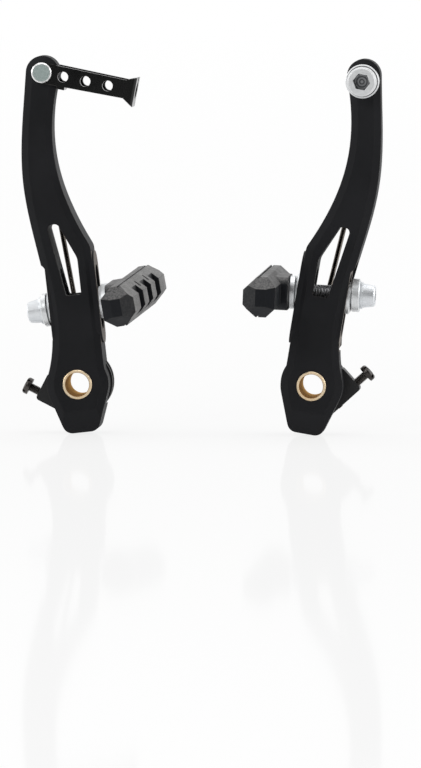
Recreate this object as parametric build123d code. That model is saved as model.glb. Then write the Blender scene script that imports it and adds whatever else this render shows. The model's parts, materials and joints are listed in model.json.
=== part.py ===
from build123d import *
from math import acos, atan2, cos, degrees, radians, sin, sqrt
import os

# Linear-pull bicycle brake, both arms, as it sits on the two brake bosses of a fork.
# Millimetres. +X runs from the left arm to the right arm, +Y towards the fork, +Z up.
# The origin lies midway between the boss axes, on the plane that the bushes seat against.
# Each arm is drawn in its own frame: u inboard, w up the arm, depth forward of the seat plane.

# Stance of the two arms
BOSS_SPACING = 80.0
LEFT_LEAN = 6.4
RIGHT_LEAN = 9.5
LEFT_PAD_HEIGHT = 26.7
RIGHT_PAD_HEIGHT = 31.3
LEFT_PAD_PITCH = 2.8
RIGHT_PAD_PITCH = 0.2
LEFT_CAMBER = -3.5
RIGHT_CAMBER = 7.0
LEFT_TOE = 4.0
RIGHT_TOE = 0.4
LEFT_HOLDER_TURN = 15.0
RIGHT_HOLDER_TURN = 0.0
LINK_SLOPE = 11.0

# Fits
RUNNING_FIT = 0.05
SEAT_GAP = 0.1
THREAD_FIT = 0.04

# Pivot bush
BOSS_BORE_RADIUS = 4.05
BUSH_RADIUS = 5.0
BUSH_LENGTH = 17.0
BUSH_EDGE = 0.15

# Arm outline
ARM_REACH = 107.0
EYE_RADIUS = 5.7
HUB_RADIUS = 10.6
TAIL_DROP = 16.6
TAIL_WIDTH = 11.0
TAIL_SHIFT = 0.4
TAIL_CORNER = 3.4
BOW_HEIGHT = 70.0
BOW_REACH = 10.85
WAIST_HEIGHT = 24.0
WAIST_REACH = 6.5
NECK_HEIGHT = 79.0
NECK_INSET = 0.7
KNEE_HEIGHT = 46.4
KNEE_CORNER = 5.0
HUB_BLEND = 6.0
EYE_LEAVE_IN = 20.0
EYE_LEAVE_OUT = 170.0
HUB_MEET_OUT = 158.0
KNEE_SLANT = 26.0

# Arm section
ARM_FRONT = 16.6
ARM_BACK = 3.5
EYE_THICKNESS = 8.0
HUB_THICKNESS = 8.6
BACK_TAPER_START = 60.0
BACK_TAPER_END = 97.0
BEVEL_WIDTH = 2.4
BEVEL_DEPTH = 1.0
TAIL_CREASE = 9.0
TAIL_SLOPE = 14.0
RECESS_GAP = 0.3
LUG_ROOM_RADIUS = 19.0
LUG_ROOM_FROM = 116.0
LUG_ROOM_TO = 261.0

# Window through the arm
WINDOW_BOTTOM = 30.5
WINDOW_TOP = 55.2
WINDOW_SHOULDER = 43.0
OUTER_LEG = 6.0
INNER_LEG = 5.5
WINDOW_TOP_WIDTH = 3.8
WINDOW_TOP_SHIFT = 0.4
WINDOW_CORNER = 1.7
WINDOW_SHOULDER_RADIUS = 5.0
WINDOW_FOOT_RADIUS = 0.7

# Stud slot and its lands
INNER_LAND = 10.3
OUTER_LAND = 6.8
LAND_PROUD = 0.7
LAND_DEPTH = 12.0
LAND_LENGTH = 31.6
LAND_CORNER = 5.0
SLOT_HEIGHT = 28.8
SLOT_LENGTH = 22.0
STUD_DEPTH = 10.05
STUD_RADIUS = 3.0
SLOT_CLEARANCE = 1.0

# Ball-seat washers, a thick pair and a thin pair that can change sides
DOME_RADIUS = 5.5
CUP_RADIUS = 5.65
CUP_RIM_WIDTH = 0.75
DOME_BORE_CLEARANCE = 1.45
THICK_RISE = 2.6
THICK_STACK = 4.2
THIN_RISE = 2.0
THIN_STACK = 2.8
WASHER_EDGE = 0.3

# Pad
PAD_LENGTH = 70.0
PAD_HEIGHT = 13.6
PAD_THICKNESS = 11.0
PAD_FACE_CHAMFER = 4.3
PAD_BACK_CHAMFER = 3.2
PAD_END_SLANT = 2.0
PAD_END_STEP = 1.0
PAD_END_HEIGHT = 6.0
PAD_END_TAPER = 5.0
PAD_BANDS = 3
PAD_BAND_WIDTH = 8.6
PAD_RIB_WIDTH = 8.4
PAD_BAND_DEPTH = 2.2
PAD_MARK_LENGTH = 2.6
PAD_MARK_WIDTH = 1.4
PAD_MARK_DEPTH = 0.6
PAD_SEAM_WIDTH = 0.6
PAD_SEAM_DEPTH = 0.5
PAD_SEAM_PLACE = 6.0
PEDESTAL_LENGTH = 22.0
PEDESTAL_HEIGHT = 11.4
PEDESTAL_PROUD = 2.4
PEDESTAL_CORNER = 3.0
PLATE_LENGTH = 18.0
PLATE_HEIGHT = 8.4
PLATE_THICKNESS = 1.2
PLATE_CORNER = 2.0

# Pad nut
NUT_LENGTH = 5.2
NUT_FLANGE_RADIUS = 4.6
NUT_FLANGE = 0.9
NUT_NECK_RADIUS = 4.15
NUT_END_RADIUS = 3.6
NUT_EDGE = 0.5
SOCKET_WIDTH = 5.0
NUT_SOCKET_DEPTH = 2.6

# Spring holder and stop plate
HOLDER_RADIUS = 11.2
HOLDER_GAP = 0.15
HOLDER_FLANGE = 1.55
SLEEVE_WALL = 1.3
LUG_LENGTH = 11.2
LUG_REACH = 12.0
LUG_START = 3.0
LUG_INNER = 2.0
LUG_WEB = 5.0
LUG_BACK = 1.9
LUG_CORNER = 1.2
STOP_PLATE_THICKNESS = 1.4
STOP_PLATE_RADIUS = 11.0
STOP_PIN_RADIUS = 1.25
STOP_PIN_LENGTH = 3.0
STOP_PIN_PLACE = 9.2

# Return spring
WIRE_RADIUS = 0.85
COIL_RADIUS = 7.6
LEG_DEPTH = 2.45
COIL_CLIMB = 2.8
LEG_EXIT = 55.0
LEG_STRAIGHT = 1.0
LEG_BEND = 3.0
LEG_SLANT = 4.35
LEG_TOP = 60.0
TAIL_BEND = 1.6
TAIL_LENGTH = 3.0
PEG_RADIUS = 1.2
PEG_HEIGHT = 57.0

# Tension screw
SCREW_RISE = 42.0
SCREW_OFFSET = 9.5
SCREW_RADIUS = 1.5
SCREW_CORE_RADIUS = 1.22
SCREW_TIP = 0.5
SCREW_HEAD_RADIUS = 2.9
SCREW_HEAD_HEIGHT = 2.0
SCREW_HEAD_ROUND = 0.9
SCREW_SLOT_WIDTH = 0.9
SCREW_SLOT_DEPTH = 1.1
LEFT_SCREW_OUT = 14.7
RIGHT_SCREW_OUT = 15.4

# Cable link and its pin
LINK_SHEET = 1.2
LINK_SIDE_GAP = 0.15
LINK_LENGTH = 32.4
LINK_HEIGHT = 7.0
LINK_END_HEIGHT = 6.3
LINK_FLARE_UP = 1.5
LINK_FLARE_DOWN = 2.4
LINK_FLARE = 3.6
LINK_CORNER = 0.8
LINK_HOLES = 3
LINK_HOLE_RADIUS = 1.8
LINK_HOLE_FIRST = 7.4
LINK_HOLE_PITCH = 7.75
KEYHOLE_RADIUS = 2.7
KEYHOLE_SLOT = 2.2
STOP_TAB_GAP = 0.3
STOP_TAB_LENGTH = 2.6
STOP_TAB_DROP = 0.9
PIN_RADIUS = 2.4
PIN_HEAD_RADIUS = 3.45
PIN_HEAD = 1.2
PIN_HEAD_EDGE = 0.35
PIN_REAR_HEAD = 0.9
PIN_REAR_ROUND = 0.7

# Cable bolt and its clamp washer
BOLT_RADIUS = 3.0
BOLT_HEAD_RADIUS = 5.0
BOLT_HEAD = 4.2
BOLT_EDGE = 0.7
BOLT_STAND_OUT = 1.0
BOLT_DROP = 1.8
BOLT_SOCKET_DEPTH = 2.6
CLAMP_RADIUS = 5.75
CLAMP_THICKNESS = 1.7
CLAMP_EDGE = 0.4
CABLE_GROOVE_RADIUS = 0.8

# Sizes that follow from the ones above
INNER_EDGE = INNER_LAND - LAND_PROUD
EYE_BACK = ARM_FRONT - EYE_THICKNESS
HUB_BACK = ARM_FRONT - HUB_THICKNESS
BALL_PLACE = (INNER_LAND - OUTER_LAND) / 2
LAND_REACH = (INNER_LAND + OUTER_LAND) / 2
PAD_FACE_PLACE = PEDESTAL_PROUD + PAD_THICKNESS
STUD_LENGTH = 2 * LAND_REACH + THICK_STACK + THIN_STACK + NUT_LENGTH - NUT_SOCKET_DEPTH - SEAT_GAP
HOLDER_FRONT = HUB_BACK - HOLDER_GAP
COIL_DEPTH = LEG_DEPTH + COIL_CLIMB
HUGE = 4 * ARM_REACH

os.makedirs("parts", exist_ok=True)


def front_plane(depth):
    """Plane facing the viewer, this far forward of the seat plane."""
    return Plane.XZ.offset(depth)


def slab(face, back, front):
    """A front-view outline, made solid between two depths."""
    return extrude(front_plane(back) * face, front - back)


def ring(radius, bore, back, front):
    """A flat ring about the pivot axis, between two depths."""
    return slab(Circle(radius) - Circle(bore), back, front)


def polar(radius, angle):
    """Point on a circle about the origin, angle in degrees."""
    return (radius * cos(radians(angle)), radius * sin(radians(angle)))


def rounded_face(corners):
    """Face through (x, y, radius) corners, each corner rounded by its radius."""
    face = make_face(Polyline(*[(x, y) for x, y, _ in corners], close=True))
    for x, y, radius in corners:
        if radius > 0:
            face = fillet(face.vertices().sort_by_distance((x, y, 0))[0], radius)
    return face


def on_boss(side, solid, lean=0.0):
    """Put a piece drawn for the left side on its boss, leaning outboard."""
    sign = -1 if side == "left" else 1
    if side == "right":
        solid = mirror(solid, about=Plane.YZ)
    return Pos(sign * BOSS_SPACING / 2, 0, 0) * Rot(0, sign * lean, 0) * solid


def hexagon_socket(depth):
    """Prism that cuts a hexagon socket, standing on the XY plane."""
    return extrude(RegularPolygon(SOCKET_WIDTH / sqrt(3), 6), depth)


# Arm
def tangent_turn(point):
    """Angle from straight down to where a line from the point touches the hub."""
    x, y = point
    return degrees(acos(HUB_RADIUS / sqrt(x * x + y * y)) + atan2(abs(x), -y))


def arm_outline():
    """Front view of the arm: hub, tail, bowed blade and eye."""
    eye = Pos(0, ARM_REACH)
    eye_in = Vector(*polar(EYE_RADIUS, -EYE_LEAVE_IN)) + Vector(0, ARM_REACH)
    eye_out = Vector(*polar(EYE_RADIUS, EYE_LEAVE_OUT)) + Vector(0, ARM_REACH)
    hub_out = polar(HUB_RADIUS, HUB_MEET_OUT)
    hub_in_angle = degrees(acos(INNER_EDGE / HUB_RADIUS))
    knee = (INNER_EDGE, KNEE_HEIGHT)
    foot = (INNER_EDGE, HUB_RADIUS * sin(radians(hub_in_angle)))
    tail_out = (-TAIL_WIDTH / 2 - TAIL_SHIFT, -TAIL_DROP)
    tail_in = (TAIL_WIDTH / 2 - TAIL_SHIFT, -TAIL_DROP)
    leave_out = 270 - tangent_turn(tail_out)
    leave_in = -90 + tangent_turn(tail_in)
    blade_out = Spline(
        eye_out,
        (-BOW_REACH, BOW_HEIGHT),
        (-WAIST_REACH, WAIST_HEIGHT),
        hub_out,
        tangents=(polar(1, EYE_LEAVE_OUT + 90), polar(1, HUB_MEET_OUT + 90)),
    )
    blade_in = Spline(
        knee,
        (NECK_INSET, NECK_HEIGHT),
        eye_in,
        tangents=(polar(1, 90 + KNEE_SLANT), polar(1, 90 - EYE_LEAVE_IN)),
    )
    edges = [
        eye * CenterArc((0, 0), EYE_RADIUS, -EYE_LEAVE_IN, EYE_LEAVE_IN + EYE_LEAVE_OUT),
        blade_out,
        CenterArc((0, 0), HUB_RADIUS, HUB_MEET_OUT, leave_out - HUB_MEET_OUT),
        Line(polar(HUB_RADIUS, leave_out), tail_out),
        Line(tail_out, tail_in),
        Line(tail_in, polar(HUB_RADIUS, leave_in)),
        CenterArc((0, 0), HUB_RADIUS, leave_in, hub_in_angle - leave_in),
        Line(foot, knee),
        blade_in,
    ]
    face = make_face(edges)
    corners = ((tail_out, TAIL_CORNER), (tail_in, TAIL_CORNER), (foot, HUB_BLEND), (knee, KNEE_CORNER))
    for (u, w), radius in corners:
        face = fillet(face.vertices().sort_by_distance((u, w, 0))[0], radius)
    return face


def window_outline():
    """The opening between the arm's two legs."""
    foot_out = -WAIST_REACH + OUTER_LEG
    foot_in = INNER_LAND - INNER_LEG
    top_out = -BOW_REACH + OUTER_LEG + WINDOW_TOP_SHIFT
    return rounded_face([
        (foot_out, WINDOW_BOTTOM, WINDOW_FOOT_RADIUS),
        (foot_in, WINDOW_BOTTOM, WINDOW_FOOT_RADIUS),
        (foot_in, WINDOW_SHOULDER, WINDOW_SHOULDER_RADIUS),
        (top_out + WINDOW_TOP_WIDTH, WINDOW_TOP, WINDOW_CORNER),
        (top_out, WINDOW_TOP, WINDOW_CORNER),
    ])


def land(start, end):
    """Block with the washer seat's outline, between two places along the stud."""
    seat = Plane.YZ.offset(start) * RectangleRounded(LAND_DEPTH, LAND_LENGTH, LAND_CORNER)
    return Pos(BALL_PLACE, -STUD_DEPTH, SLOT_HEIGHT) * extrude(seat, end - start)


def lug_room():
    """Pie slice behind the hub that the holder's lug and the spring's tail swing through."""
    start = polar(LUG_ROOM_RADIUS, LUG_ROOM_FROM)
    end = polar(LUG_ROOM_RADIUS, LUG_ROOM_TO)
    rim = CenterArc((0, 0), LUG_ROOM_RADIUS, LUG_ROOM_FROM, LUG_ROOM_TO - LUG_ROOM_FROM)
    return make_face([Line((0, 0), start), rim, Line(end, (0, 0))])


def leg_line(height):
    """Where the spring's straight leg crosses this height, in the arm's frame."""
    exit_u, exit_w = polar(COIL_RADIUS, LEG_EXIT)
    start_u = exit_u - LEG_STRAIGHT * sin(radians(LEG_EXIT))
    start_w = exit_w + LEG_STRAIGHT * cos(radians(LEG_EXIT))
    centre_u = start_u + LEG_BEND * cos(radians(LEG_EXIT))
    centre_w = start_w + LEG_BEND * sin(radians(LEG_EXIT))
    end_u = centre_u - LEG_BEND * cos(radians(LEG_SLANT))
    end_w = centre_w - LEG_BEND * sin(radians(LEG_SLANT))
    return end_u - (height - end_w) * sin(radians(LEG_SLANT)) / cos(radians(LEG_SLANT))


def arm(eye_bore, eye_place):
    """One forged arm with its bevelled front, window, slot, lands and spring peg."""
    body = slab(arm_outline(), ARM_BACK, ARM_FRONT)
    face = body.faces().sort_by(Axis.Y)[0]
    body = chamfer(face.edges(), BEVEL_WIDTH, BEVEL_DEPTH, reference=face)
    for reach in (LAND_REACH, -LAND_REACH):
        body += land(0, reach)
        body -= land(reach, 2 * reach)
    back_taper = make_face(Polyline(
        (-ARM_BACK, BACK_TAPER_START),
        (-EYE_BACK, BACK_TAPER_END),
        (-EYE_BACK, HUGE),
        (HUGE, HUGE),
        (HUGE, BACK_TAPER_START),
        close=True,
    ))
    body -= extrude(Plane.YZ * back_taper, HUGE, both=True)
    tail_cut = Rot(TAIL_SLOPE, 0, 0) * Box(HUGE, HUGE, HUGE, align=(Align.CENTER, Align.MAX, Align.MAX))
    body -= Pos(0, -ARM_FRONT, -TAIL_CREASE) * tail_cut
    body -= slab(Circle(HOLDER_RADIUS + RECESS_GAP) + lug_room(), 0, HUB_BACK)
    body -= slab(Circle(BUSH_RADIUS + RUNNING_FIT), 0, HUGE)
    body -= slab(Pos(0, eye_place) * Circle(eye_bore), 0, HUGE)
    body -= slab(window_outline(), 0, HUGE)
    slot = Plane.YZ * SlotOverall(SLOT_LENGTH, 2 * (STUD_RADIUS + SLOT_CLEARANCE), rotation=90)
    body -= Pos(0, -STUD_DEPTH, SLOT_HEIGHT) * extrude(slot, HUGE, both=True)
    peg_u = leg_line(PEG_HEIGHT) - WIRE_RADIUS - SEAT_GAP - PEG_RADIUS
    peg_tip = LEG_DEPTH - WIRE_RADIUS
    return body + slab(Pos(peg_u, PEG_HEIGHT) * Circle(PEG_RADIUS), peg_tip, HUB_BACK)


# Pivot group
def bush():
    tube = ring(BUSH_RADIUS, BOSS_BORE_RADIUS, 0, BUSH_LENGTH)
    rims = tube.faces().sort_by(Axis.Y)[0].edges() + tube.faces().sort_by(Axis.Y)[-1].edges()
    return chamfer(rims, BUSH_EDGE)


def screw_axis():
    """Frame at the foot of the screw's axis: local Z runs up the screw to its head."""
    foot = Vector(-sin(radians(SCREW_RISE)), 0, -cos(radians(SCREW_RISE))) * SCREW_OFFSET
    up = Vector(-cos(radians(SCREW_RISE)), 0, sin(radians(SCREW_RISE)))
    return Plane(origin=foot + Vector(0, -COIL_DEPTH, 0), x_dir=(0, 1, 0), z_dir=up)


def spring_holder():
    """Moulded spool behind the hub, with the lug for the tension screw."""
    back = HOLDER_FRONT - HOLDER_FLANGE
    bore = BUSH_RADIUS + RUNNING_FIT
    spool = slab(Circle(HOLDER_RADIUS), back, HOLDER_FRONT)
    lug = rounded_face([
        (LUG_START, LUG_INNER, 0),
        (LUG_LENGTH, LUG_INNER, LUG_CORNER),
        (LUG_LENGTH, LUG_REACH, LUG_CORNER),
        (LUG_START, LUG_REACH, LUG_CORNER),
    ])
    along = Vector(-cos(radians(SCREW_RISE)), 0, sin(radians(SCREW_RISE)))
    turned = Plane(origin=(0, 0, 0), x_dir=along, z_dir=(0, -1, 0))
    lug = turned.offset(LUG_BACK) * lug
    spool += extrude(lug, HOLDER_FRONT - LUG_BACK)
    web = Pos(LUG_START, LUG_INNER) * Rectangle(
        2 * LUG_WEB, LUG_REACH - LUG_INNER, align=(Align.CENTER, Align.MIN)
    )
    spool += extrude(turned.offset(back) * web, HOLDER_FLANGE)
    coil_room = COIL_RADIUS + WIRE_RADIUS + SEAT_GAP
    spool -= slab(Circle(coil_room), 0, back)
    spool += slab(Circle(bore + SLEEVE_WALL), STOP_PLATE_THICKNESS + SEAT_GAP, back)
    spool -= slab(Circle(bore), 0, HUGE)
    hole = extrude(Circle(SCREW_RADIUS + THREAD_FIT), LUG_LENGTH + LUG_REACH)
    return spool - screw_axis() * hole


def stop_plate():
    """Ring at the seat, with the pin that locks into the boss."""
    plate = ring(STOP_PLATE_RADIUS, BUSH_RADIUS + RUNNING_FIT, 0, STOP_PLATE_THICKNESS)
    pin = Pos(-STOP_PIN_PLACE, 0) * Circle(STOP_PIN_RADIUS)
    return plate + slab(pin, -STOP_PIN_LENGTH, STOP_PLATE_THICKNESS)


def return_spring(lean, turn):
    """One wire: tail against the tension screw, coil round the spool, leg up the arm."""
    start = 270 - SCREW_RISE - lean + turn
    out = Vector(cos(radians(start)), 0, sin(radians(start)))
    along = Vector(-sin(radians(start)), 0, cos(radians(start)))
    deep = Vector(0, -COIL_DEPTH, 0)
    sweep_angle = LEG_EXIT + 720 - start
    coil = Plane(origin=deep, x_dir=out, z_dir=(0, 1, 0)) * Helix(
        COIL_CLIMB * 360 / sweep_angle, COIL_CLIMB, COIL_RADIUS, lefthand=True
    )
    bend_start = deep + out * (COIL_RADIUS + TAIL_BEND) - along * TAIL_BEND
    tail = Line(bend_start + out * TAIL_LENGTH, bend_start)
    tail_bend = TangentArc(bend_start, coil @ 0, tangent=-out)
    exit_u, exit_w = polar(COIL_RADIUS, LEG_EXIT)
    leave = Vector(-sin(radians(LEG_EXIT)), 0, cos(radians(LEG_EXIT)))
    leg_start = Vector(exit_u, -LEG_DEPTH, exit_w)
    bend_from = leg_start + leave * LEG_STRAIGHT
    centre = bend_from + Vector(cos(radians(LEG_EXIT)), 0, sin(radians(LEG_EXIT))) * LEG_BEND
    bend_to = centre - Vector(cos(radians(LEG_SLANT)), 0, sin(radians(LEG_SLANT))) * LEG_BEND
    leg = [
        Line(leg_start, bend_from),
        TangentArc(bend_from, bend_to, tangent=leave),
        Line(bend_to, Vector(leg_line(LEG_TOP), -LEG_DEPTH, LEG_TOP)),
    ]
    path = Wire([tail, tail_bend, coil] + leg)
    section = Plane(origin=path @ 0, z_dir=path % 0) * Circle(WIRE_RADIUS)
    return sweep(section, path, is_frenet=True)


def tension_screw(out):
    """Cross-slotted pan-head screw, drawn along its axis and set in its lug."""
    tip = TAIL_BEND + WIRE_RADIUS + SEAT_GAP
    shank = Pos(0, 0, tip) * extrude(Circle(SCREW_RADIUS), LUG_LENGTH - tip)
    shank = chamfer(shank.faces().sort_by(Axis.Z)[0].edges(), SCREW_TIP)
    shank += Pos(0, 0, LUG_LENGTH) * extrude(Circle(SCREW_CORE_RADIUS), out - LUG_LENGTH)
    head = Pos(0, 0, out) * extrude(Circle(SCREW_HEAD_RADIUS), SCREW_HEAD_HEIGHT)
    head = fillet(head.faces().sort_by(Axis.Z)[-1].edges(), SCREW_HEAD_ROUND)
    top = Pos(0, 0, out + SCREW_HEAD_HEIGHT - SCREW_SLOT_DEPTH)
    for turn in (45, 135):
        slot = Box(3 * SCREW_HEAD_RADIUS, SCREW_SLOT_WIDTH, 2 * SCREW_SLOT_DEPTH)
        head -= top * Rot(0, 0, turn) * Pos(0, 0, SCREW_SLOT_DEPTH) * slot
    return screw_axis() * (shank + head)


# Pad group, drawn with the stud along X: washers about the ball centre, pad and nut from their seats
def ball_arc(ball, low_radius, high_radius):
    """Arc of a ball-seat profile about the ball centre, between two distances from the stud."""
    middle = (low_radius + high_radius) / 2
    points = [(sqrt(ball**2 - r**2), r) for r in (low_radius, middle, high_radius)]
    return ThreePointArc(*points)


def dome_washer(rise):
    """Washer flat on its land, with its crown on a sphere about the ball centre."""
    bore = STUD_RADIUS + DOME_BORE_CLEARANCE
    crown = ball_arc(LAND_REACH + rise, bore, DOME_RADIUS)
    flat = Polyline(crown @ 1, (LAND_REACH, DOME_RADIUS), (LAND_REACH, bore), crown @ 0)
    return revolve(make_face([crown, flat]), Axis.X)


def cup_washer(rise, stack):
    """Washer hollowed to sit on its dome, flat on the other side."""
    bore = STUD_RADIUS + RUNNING_FIT
    high = LAND_REACH + stack
    hollow = ball_arc(LAND_REACH + rise + SEAT_GAP, bore, CUP_RADIUS - CUP_RIM_WIDTH)
    low = (hollow @ 1).X
    rim = Polyline(
        hollow @ 1,
        (low, CUP_RADIUS),
        (high - WASHER_EDGE, CUP_RADIUS),
        (high, CUP_RADIUS - WASHER_EDGE),
        (high, bore),
        hollow @ 0,
    )
    return revolve(make_face([hollow, rim]), Axis.X)


def pad_section():
    """Cross-section of the rubber block, back at the washers and face at the rim."""
    half = PAD_HEIGHT / 2
    points = [
        (PEDESTAL_PROUD, half - PAD_BACK_CHAMFER),
        (PEDESTAL_PROUD + PAD_BACK_CHAMFER, half),
        (PAD_FACE_PLACE - PAD_FACE_CHAMFER, half),
        (PAD_FACE_PLACE, half - PAD_FACE_CHAMFER),
    ]
    lower = [(x, -z) for x, z in reversed(points)]
    return make_face(Polyline(*points, *lower, close=True))


def pad_bar():
    """Eight-sided bar whose ends are pointed in plan and in side view."""
    half = PAD_LENGTH / 2
    bar = extrude(Plane.XZ * pad_section(), half, both=True)
    plan = make_face(Polyline(
        (PEDESTAL_PROUD, -half + PAD_END_STEP),
        (PEDESTAL_PROUD + PAD_BACK_CHAMFER, -half),
        (PAD_FACE_PLACE - PAD_FACE_CHAMFER, -half),
        (PAD_FACE_PLACE, -half + PAD_END_SLANT),
        (PAD_FACE_PLACE, half - PAD_END_SLANT),
        (PAD_FACE_PLACE - PAD_FACE_CHAMFER, half),
        (PEDESTAL_PROUD + PAD_BACK_CHAMFER, half),
        (PEDESTAL_PROUD, half - PAD_END_STEP),
        close=True,
    ))
    side = make_face(Polyline(
        (-half, -PAD_END_HEIGHT / 2),
        (-half + PAD_END_TAPER, -PAD_HEIGHT / 2),
        (half - PAD_END_TAPER, -PAD_HEIGHT / 2),
        (half, -PAD_END_HEIGHT / 2),
        (half, PAD_END_HEIGHT / 2),
        (half - PAD_END_TAPER, PAD_HEIGHT / 2),
        (-half + PAD_END_TAPER, PAD_HEIGHT / 2),
        (-half, PAD_END_HEIGHT / 2),
        close=True,
    ))
    return bar & extrude(plan, HUGE, both=True) & extrude(Plane.YZ * side, HUGE, both=True)


def pad():
    """Rubber block with a pedestal at the stud, cross slots in its face, marks and a parting seam."""
    bar = pad_bar()
    pedestal = RectangleRounded(PEDESTAL_LENGTH, PEDESTAL_HEIGHT, PEDESTAL_CORNER)
    bar += extrude(Plane.YZ * pedestal, PEDESTAL_PROUD + PAD_BACK_CHAMFER)
    pocket = RectangleRounded(PLATE_LENGTH + 2 * RUNNING_FIT, PLATE_HEIGHT + 2 * RUNNING_FIT, PLATE_CORNER)
    bar -= extrude(Plane.YZ * pocket, PLATE_THICKNESS)
    pitch = PAD_BAND_WIDTH + PAD_RIB_WIDTH
    for index in range(PAD_BANDS):
        place = (index - (PAD_BANDS - 1) / 2) * pitch
        bar -= Pos(PAD_FACE_PLACE, place, 0) * Box(2 * PAD_BAND_DEPTH, PAD_BAND_WIDTH, PAD_HEIGHT)
    mark_place = PAD_FACE_PLACE - PAD_FACE_CHAMFER / 2
    mark_level = PAD_HEIGHT / 2 - PAD_FACE_CHAMFER / 2
    mark = Box(PAD_MARK_LENGTH, PAD_MARK_WIDTH, 2 * PAD_MARK_DEPTH)
    for index in range(PAD_BANDS - 1):
        place = (index - (PAD_BANDS - 2) / 2) * pitch
        for sign in (-1, 1):
            bar -= Pos(mark_place, place, sign * mark_level) * Rot(0, sign * 45, 0) * mark
    for level in (-PAD_HEIGHT / 2, PAD_HEIGHT / 2):
        seam = Box(PAD_SEAM_WIDTH, PAD_LENGTH, 2 * PAD_SEAM_DEPTH)
        bar -= Pos(PEDESTAL_PROUD + PAD_SEAM_PLACE, 0, level) * seam
    return bar


def pad_stud():
    """Threaded stud on the plate that is moulded into the pad's pedestal."""
    plate = RectangleRounded(PLATE_LENGTH, PLATE_HEIGHT, PLATE_CORNER)
    stud = extrude(Plane.YZ.offset(-STUD_LENGTH) * Circle(STUD_RADIUS), STUD_LENGTH)
    return stud + extrude(Plane.YZ * plate, PLATE_THICKNESS)


def pad_nut():
    """Tapered nut with a hexagon socket in its outer end."""
    profile = make_face(Polyline(
        (0, STUD_RADIUS + THREAD_FIT),
        (0, NUT_FLANGE_RADIUS),
        (-NUT_FLANGE, NUT_FLANGE_RADIUS),
        (-NUT_FLANGE, NUT_NECK_RADIUS),
        (-NUT_LENGTH + NUT_EDGE, NUT_END_RADIUS),
        (-NUT_LENGTH, NUT_END_RADIUS - NUT_EDGE),
        (-NUT_LENGTH, 0),
        (-NUT_LENGTH + NUT_SOCKET_DEPTH, 0),
        (-NUT_LENGTH + NUT_SOCKET_DEPTH, STUD_RADIUS + THREAD_FIT),
        close=True,
    ))
    nut = revolve(profile, Axis.X)
    return nut - Plane(origin=(-NUT_LENGTH, 0, 0), z_dir=(1, 0, 0)) * hexagon_socket(NUT_SOCKET_DEPTH)


# Link and bolt at the arm tops
def cable_link():
    """Folded strap: two side plates, a web across the end, holes, keyhole and stop tab."""
    rear_out = EYE_BACK - LINK_SIDE_GAP - LINK_SHEET
    front_out = ARM_FRONT + LINK_SIDE_GAP + LINK_SHEET
    half = LINK_HEIGHT / 2
    end_half = LINK_END_HEIGHT / 2
    flare_from = LINK_LENGTH - LINK_FLARE
    side = make_face(Polyline(
        (0, half),
        (0, -half),
        (flare_from, -end_half),
        (LINK_LENGTH, -end_half - LINK_FLARE_DOWN),
        (LINK_LENGTH, end_half + LINK_FLARE_UP),
        (flare_from, end_half),
        close=True,
    ))
    side += Circle(half)
    strap = slab(side, rear_out, front_out)
    room = Rectangle(LINK_LENGTH - LINK_SHEET + half, HUGE, align=(Align.MIN, Align.CENTER))
    strap -= slab(Pos(-half, 0) * room, rear_out + LINK_SHEET, front_out - LINK_SHEET)
    fold = strap.edges().filter_by(Axis.Z).sort_by(Axis.X)[-2:]
    strap = fillet(fold, LINK_CORNER)
    for index in range(LINK_HOLES):
        centre = Pos(LINK_HOLE_FIRST + index * LINK_HOLE_PITCH, 0)
        strap -= slab(centre * Circle(LINK_HOLE_RADIUS), 0, HUGE)
    strap -= slab(Circle(PIN_RADIUS + RUNNING_FIT), 0, HUGE)
    middle = (rear_out + front_out) / 2
    keyhole = Circle(KEYHOLE_RADIUS) + Rectangle(KEYHOLE_SLOT, HUGE, align=(Align.CENTER, Align.MIN))
    keyhole = Plane(origin=(LINK_LENGTH, -middle, 0), x_dir=(0, 1, 0), z_dir=(1, 0, 0)) * keyhole
    strap -= extrude(keyhole, LINK_FLARE, both=True)
    tab = Pos(EYE_RADIUS + STOP_TAB_GAP, -half - STOP_TAB_DROP) * Rectangle(
        STOP_TAB_LENGTH, LINK_SHEET + STOP_TAB_DROP, align=(Align.MIN, Align.MIN)
    )
    tab_back = rear_out + LINK_SHEET + STOP_TAB_GAP
    return strap + slab(tab, tab_back, front_out)


def link_pin():
    """Rivet through the eye and both side plates, headed at both ends."""
    front = ARM_FRONT + LINK_SIDE_GAP + LINK_SHEET + RUNNING_FIT
    rear = EYE_BACK - LINK_SIDE_GAP - LINK_SHEET - RUNNING_FIT
    head = slab(Circle(PIN_HEAD_RADIUS), front, front + PIN_HEAD)
    head = chamfer(head.faces().sort_by(Axis.Y)[0].edges(), PIN_HEAD_EDGE)
    tail = slab(Circle(PIN_HEAD_RADIUS), rear - PIN_REAR_HEAD, rear)
    tail = fillet(tail.faces().sort_by(Axis.Y)[-1].edges(), PIN_REAR_ROUND)
    return slab(Circle(PIN_RADIUS), rear, front) + head + tail


def cable_bolt():
    """Socket-head bolt that clamps the cable on the right arm."""
    under = ARM_FRONT + CLAMP_THICKNESS
    head = slab(Circle(BOLT_HEAD_RADIUS), under, under + BOLT_HEAD)
    head = chamfer(head.faces().sort_by(Axis.Y)[0].edges(), BOLT_EDGE)
    head -= front_plane(under + BOLT_HEAD - BOLT_SOCKET_DEPTH) * hexagon_socket(BOLT_SOCKET_DEPTH)
    return head + slab(Circle(BOLT_RADIUS), EYE_BACK - BOLT_STAND_OUT, under)


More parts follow.
